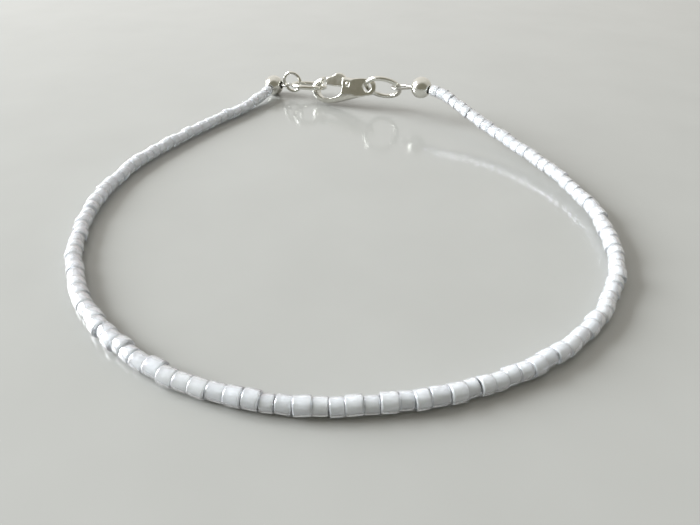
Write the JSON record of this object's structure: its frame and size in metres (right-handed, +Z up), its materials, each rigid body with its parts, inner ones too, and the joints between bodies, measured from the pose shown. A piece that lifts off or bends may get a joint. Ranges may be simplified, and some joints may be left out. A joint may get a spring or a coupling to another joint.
{
  "type": "beaded anklet",
  "caption": "Anklet of small white pearl-lustre cylinder beads on a hidden thread, closed by a silver lobster clasp between two cover balls, lying as a loop.",
  "frame": {"origin": "centre of the lying anklet's bounding box, at its bottom", "axes": "+Z up from the surface it lies on, +Y towards the clasp at the back, +X to the right seen from the front"},
  "size_m": [0.0751, 0.086, 0.008],
  "materials": {
    "pearl_beads": "pearl lustre glass, glossy",
    "polished_silver": "polished silver",
    "stringing_wire": "fine drawn wire"
  },
  "bodies": {
    "anklet": {"bead_strand_01": "pearl_beads", "bead_strand_02": "pearl_beads", "bead_strand_03": "pearl_beads", "bead_strand_04": "pearl_beads", "bead_strand_05": "pearl_beads", "bead_strand_06": "pearl_beads", "bead_strand_07": "pearl_beads", "bead_strand_08": "pearl_beads", "bead_strand_09": "pearl_beads", "bead_strand_10": "pearl_beads", "cover_ball_left": "polished_silver", "cover_ball_right": "polished_silver", "thread_loop_left": "stringing_wire", "thread_loop_right": "stringing_wire", "small_ring_left": "polished_silver", "jump_ring_left": "polished_silver", "jump_ring_right": "polished_silver", "clasp_body": "polished_silver", "lever_pin": "polished_silver"},
    "lever": {"clasp_lever": "polished_silver"}
  },
  "joints": [
    {"name": "lever_hinge", "type": "hinge", "parent": "anklet", "child": "lever", "pos_m": [0.0012, 0.03446, 0.00457], "axis": [-0.4, -0.8513, 0.3395], "range_deg": [0, 25], "stiffness_Nm_per_rad": 0.002, "springref_deg": -22.92}
  ]
}
